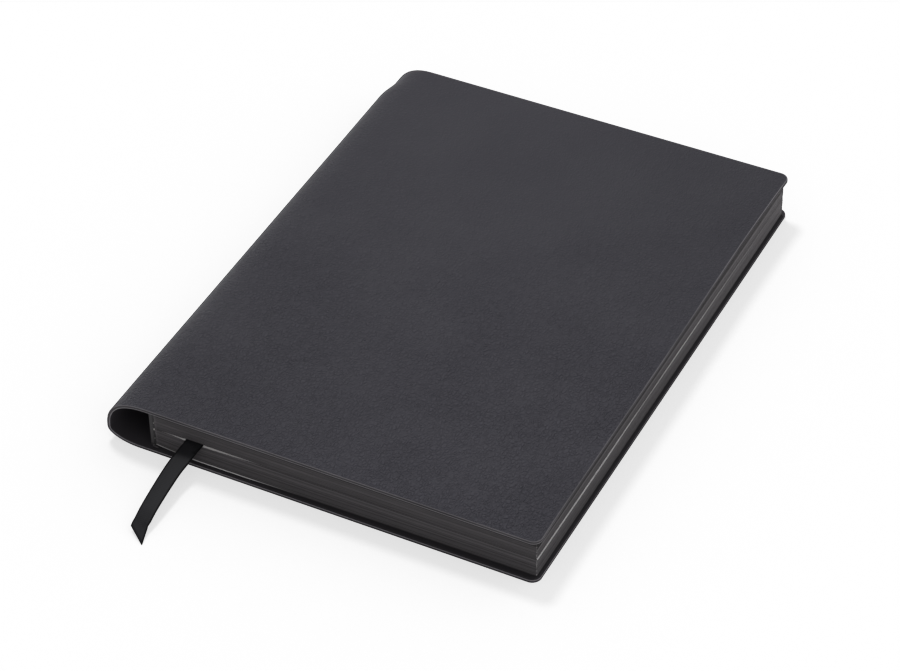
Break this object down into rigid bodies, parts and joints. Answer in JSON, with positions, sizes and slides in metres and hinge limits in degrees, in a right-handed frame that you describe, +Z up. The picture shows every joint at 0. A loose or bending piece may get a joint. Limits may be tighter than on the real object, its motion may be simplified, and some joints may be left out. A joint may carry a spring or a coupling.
{
  "type": "soft-cover notebook",
  "caption": "Closed notebook with a limp dark cover, a hollow rolled spine, dark page edges and a ribbon marker that hangs out of the tail.",
  "frame": {"origin": "on the table under the middle of the covers' box, ribbon left out", "axes": "+X from the rolled spine to the fore edge, +Y from tail to head, +Z up from the back cover to the front cover"},
  "size_m": [0.165, 0.2547, 0.0191],
  "materials": {
    "cover_sheet": "fine-grained dark grey imitation leather, satin",
    "black_endpaper": "matte black endpaper",
    "dyed_page_edges": "leaf edges dyed dark grey, matte",
    "lining_cloth": "glue-soaked cloth, matte",
    "lining_card": "dark card, matte",
    "satin_ribbon": "black satin weave, soft sheen"
  },
  "bodies": {
    "book_block": {"pages": "dyed_page_edges", "front_flyleaf": "black_endpaper", "back_flyleaf": "black_endpaper", "spine_mull": "lining_cloth", "spine_lining": "lining_card", "spine": "cover_sheet", "ribbon_marker": "satin_ribbon"},
    "front_board": {"front_cover": "cover_sheet", "front_pastedown": "black_endpaper"},
    "back_board": {"back_cover": "cover_sheet", "back_pastedown": "black_endpaper"}
  },
  "joints": [
    {"name": "front_cover_hinge", "type": "hinge", "parent": "book_block", "child": "front_board", "pos_m": [-0.0648, 0, 0.01925], "axis": [0, -1, 0], "range_deg": [0, 178]},
    {"name": "back_cover_hinge", "type": "hinge", "parent": "book_block", "child": "back_board", "pos_m": [-0.0648, 0, -0.00015], "axis": [0, 1, 0], "range_deg": [0, 178]}
  ]
}
